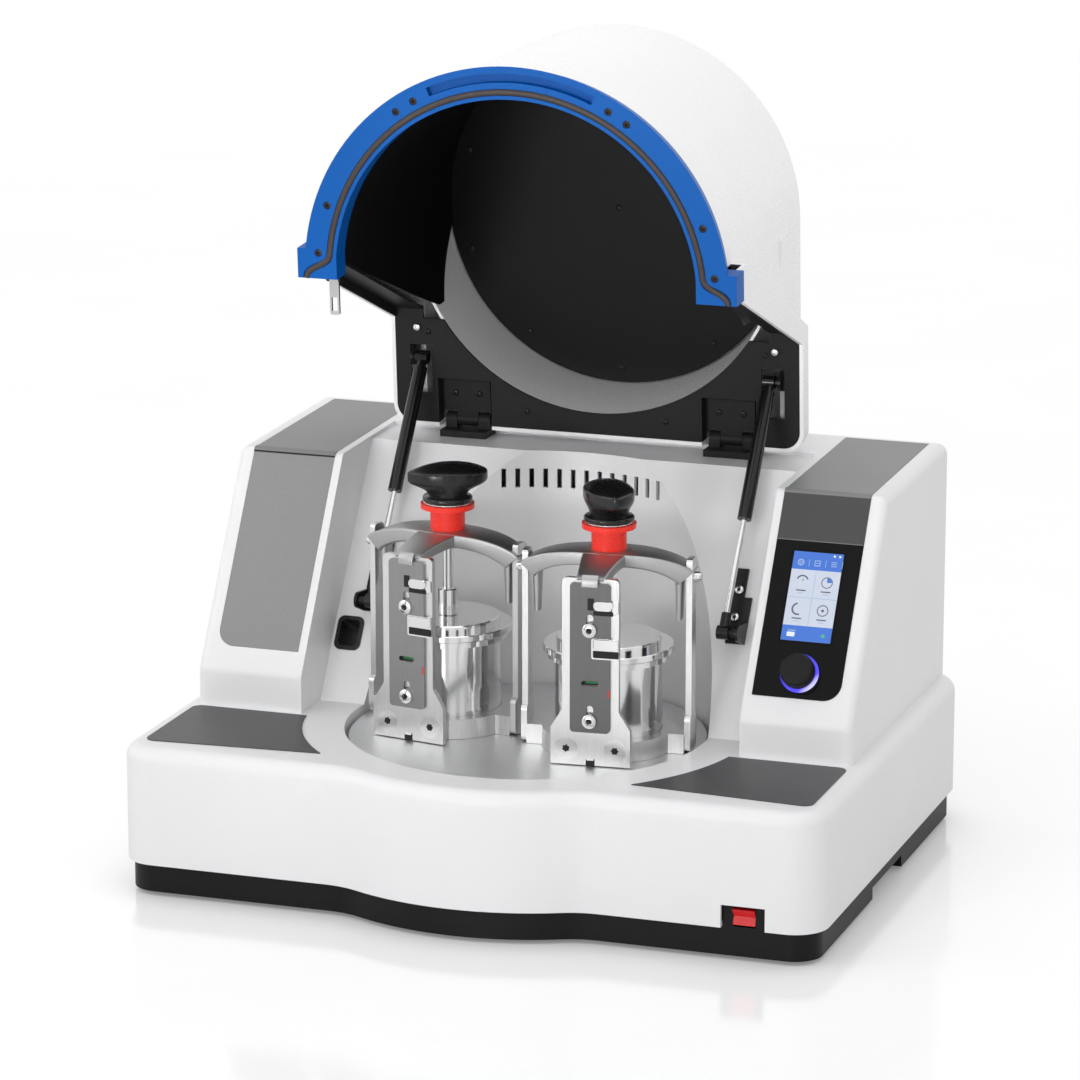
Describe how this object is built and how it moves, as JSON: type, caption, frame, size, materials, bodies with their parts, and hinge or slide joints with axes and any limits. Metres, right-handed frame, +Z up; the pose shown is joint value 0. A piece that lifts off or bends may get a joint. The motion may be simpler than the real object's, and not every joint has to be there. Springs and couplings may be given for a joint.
{
  "type": "planetary ball mill",
  "caption": "Bench mill with a drum lid on gas struts, a belt-driven turntable and clamped grinding jars that spin on it, with a sloping control panel.",
  "frame": {"origin": "on the bench plane, below the centre of the machine's outline", "axes": "+X to the machine's right as seen from its front, +Y to its back, +Z up; the front with the turntable faces -Y"},
  "size_m": [0.724, 0.575, 0.8256],
  "materials": {
    "white_body": "satin white",
    "white_lid": "semi-gloss white",
    "black_plinth": "fine black texture coat",
    "black_rubber": "matt",
    "anthracite_pad": "matt anthracite",
    "grey_panel": "matt mid grey",
    "grey_grille": "fine ribbed grey",
    "black_fascia": "gloss black",
    "display_glass": "lit screen",
    "blue_light_ring": "translucent, lit blue",
    "black_knob": "satin black",
    "red_rocker": "gloss red",
    "steel_brushed": "fine brushed",
    "steel_polished": "turned and polished",
    "turntable_metal": "fine turned",
    "red_collar": "red anodised look",
    "blue_rim": "satin blue",
    "black_lid_plate": "satin black",
    "black_liner": "satin black",
    "seal_brown": "matt seal",
    "black_screw": "blackened",
    "cast_motor": "painted",
    "bearing_steel": "ground",
    "belt_rubber": "matt",
    "chassis_paint": "grey paint",
    "strut_black": "gloss black tube",
    "black_hinge": "black",
    "electric_black": "matt black"
  },
  "bodies": {
    "base": {"base_plinth": "black_plinth", "rubber_feet": "black_rubber", "housing_shell": "white_body", "deck_pads": "anthracite_pad", "pod_top_panels": "grey_panel", "left_front_grille": "grey_grille", "display_fascia": "black_fascia", "touch_display": "display_glass", "latch_receptacle": "black_knob", "strut_brackets": "black_hinge", "hinge_base_leaves": "black_hinge", "hinge_pins": "bearing_steel", "drive_chassis": "chassis_paint", "bearing_housing": "cast_motor", "sun_pulley": "steel_brushed", "drive_motor": "cast_motor", "drive_belt": "belt_rubber", "drive_inverter": "electric_black", "mains_inlet": "electric_black", "rear_vent_panel": "electric_black", "cooling_fan": "electric_black"},
    "encoder_ring": {"encoder_light_ring": "blue_light_ring"},
    "encoder_dial": {"encoder_knob": "black_knob"},
    "power_switch": {"power_rocker": "red_rocker"},
    "sun_wheel": {"turntable": "turntable_metal", "main_shaft": "bearing_steel", "planet_bearings": "bearing_steel", "planet_belt": "belt_rubber"},
    "motor_rotor": {"motor_pulley": "steel_brushed"},
    "fan_rotor": {"fan_impeller": "electric_black"},
    "lid": {"lid_shell": "white_lid", "lid_inner_wall": "black_liner", "roof_liner": "black_liner", "lid_bottom_plate": "black_lid_plate", "lid_rim": "blue_rim", "rim_gasket": "seal_brown", "lid_screws": "black_screw", "hinge_lid_leaves": "black_hinge", "strut_studs": "bearing_steel"},
    "hook": {"latch_hook": "steel_polished"},
    "left_planet": {"left_jar_holder": "steel_brushed", "left_clamp_bridge": "steel_brushed", "left_grinding_jar": "steel_polished", "left_jar_lid": "steel_polished", "left_spindle_collar": "red_collar"},
    "left_spindle": {"left_clamp_spindle": "steel_polished"},
    "left_knob": {"left_wing_knob": "black_knob"},
    "left_slider": {"left_safety_slider": "steel_brushed"},
    "left_rod": {"left_strut_rod": "steel_polished"},
    "left_cylinder": {"left_strut_cylinder": "strut_black"},
    "right_planet": {"right_jar_holder": "steel_brushed", "right_clamp_bridge": "steel_brushed", "right_grinding_jar": "steel_polished", "right_jar_lid": "steel_polished", "right_spindle_collar": "red_collar"},
    "right_spindle": {"right_clamp_spindle": "steel_polished"},
    "right_knob": {"right_wing_knob": "black_knob"},
    "right_slider": {"right_safety_slider": "steel_brushed"},
    "right_rod": {"right_strut_rod": "steel_polished"},
    "right_cylinder": {"right_strut_cylinder": "strut_black"}
  },
  "joints": [
    {"name": "lid_hinge", "type": "hinge", "parent": "base", "child": "lid", "pos_m": [0, 0.1742, 0.4085], "axis": [1, 0, 0], "range_deg": [0, 86.2]},
    {"name": "hook_pivot", "type": "hinge", "parent": "lid", "child": "hook", "pos_m": [-0.2105, -0.03597, 0.59268], "axis": [1, 0, 0], "range_deg": [0, 8]},
    {"name": "encoder_push", "type": "slide", "parent": "base", "child": "encoder_ring", "axis": [0, 0.8575, -0.5145], "range_m": [0, 0.001], "stiffness_N_per_m": 900, "springref_m": -0.0005},
    {"name": "encoder_turn", "type": "hinge", "parent": "encoder_ring", "child": "encoder_dial", "pos_m": [0.2845, -0.06109, 0.23401], "axis": [0, -0.8575, 0.5145], "continuous": true},
    {"name": "power_switch_rock", "type": "hinge", "parent": "base", "child": "power_switch", "pos_m": [0.286, -0.2435, 0.044], "axis": [1, 0, 0], "range_deg": [-12, 0]},
    {"name": "sun_wheel_spin", "type": "hinge", "parent": "base", "child": "sun_wheel", "pos_m": [0, -0.0545, 0.1453], "axis": [0, 0, 1], "continuous": true},
    {"name": "motor_spin", "type": "hinge", "parent": "base", "child": "motor_rotor", "pos_m": [0, 0.2035, 0.066], "axis": [0, 0, 1], "continuous": true},
    {"name": "fan_spin", "type": "hinge", "parent": "base", "child": "fan_rotor", "pos_m": [-0.245, 0.26, 0.23], "axis": [0, 1, 0], "continuous": true},
    {"name": "left_planet_spin", "type": "hinge", "parent": "sun_wheel", "child": "left_planet", "pos_m": [-0.08912, -0.04197, 0.1453], "axis": [0, 0, 1], "continuous": true},
    {"name": "left_spindle_lift", "type": "slide", "parent": "left_planet", "child": "left_spindle", "axis": [0, 0, 1], "range_m": [0, 0.006]},
    {"name": "left_knob_turn", "type": "hinge", "parent": "left_spindle", "child": "left_knob", "pos_m": [-0.08912, -0.04197, 0.3953], "axis": [0, 0, 1], "range_deg": [-1, 1081]},
    {"name": "left_slider_drop", "type": "slide", "parent": "left_planet", "child": "left_slider", "axis": [0, 0, 1], "range_m": [-0.012, 0]},
    {"name": "left_rod_tilt", "type": "hinge", "parent": "base", "child": "left_rod", "pos_m": [-0.1873, -0.0005, 0.2522], "axis": [1, 0, 0], "range_deg": [-3, 0.5]},
    {"name": "left_strut_slide", "type": "slide", "parent": "left_rod", "child": "left_cylinder", "axis": [0, 0.5687, 0.8226], "range_m": [-0.0955, 0.0005]},
    {"name": "right_planet_spin", "type": "hinge", "parent": "sun_wheel", "child": "right_planet", "pos_m": [0.08912, -0.06703, 0.1453], "axis": [0, 0, 1], "continuous": true},
    {"name": "right_spindle_lift", "type": "slide", "parent": "right_planet", "child": "right_spindle", "axis": [0, 0, 1], "range_m": [0, 0.006]},
    {"name": "right_knob_turn", "type": "hinge", "parent": "right_spindle", "child": "right_knob", "pos_m": [0.08912, -0.06703, 0.3953], "axis": [0, 0, 1], "range_deg": [-1, 1081]},
    {"name": "right_slider_drop", "type": "slide", "parent": "right_planet", "child": "right_slider", "axis": [0, 0, 1], "range_m": [-0.012, 0]},
    {"name": "right_rod_tilt", "type": "hinge", "parent": "base", "child": "right_rod", "pos_m": [0.1873, -0.0005, 0.2522], "axis": [1, 0, 0], "range_deg": [-3, 0.5]},
    {"name": "right_strut_slide", "type": "slide", "parent": "right_rod", "child": "right_cylinder", "axis": [0, 0.5687, 0.8226], "range_m": [-0.0955, 0.0005]}
  ],
  "couplings": [
    {"joint": "motor_spin", "follows": "sun_wheel_spin", "ratio": 3},
    {"joint": "left_planet_spin", "follows": "sun_wheel_spin", "ratio": -2},
    {"joint": "left_knob_turn", "follows": "left_spindle_lift", "rad_per_m": 3141.6},
    {"joint": "left_rod_tilt", "follows": "lid_hinge", "ratio": -0.029634},
    {"joint": "left_strut_slide", "follows": "lid_hinge", "m_per_rad": -0.063198},
    {"joint": "right_planet_spin", "follows": "sun_wheel_spin", "ratio": -2},
    {"joint": "right_knob_turn", "follows": "right_spindle_lift", "rad_per_m": 3141.6},
    {"joint": "right_rod_tilt", "follows": "lid_hinge", "ratio": -0.029634},
    {"joint": "right_strut_slide", "follows": "lid_hinge", "m_per_rad": -0.063198}
  ]
}
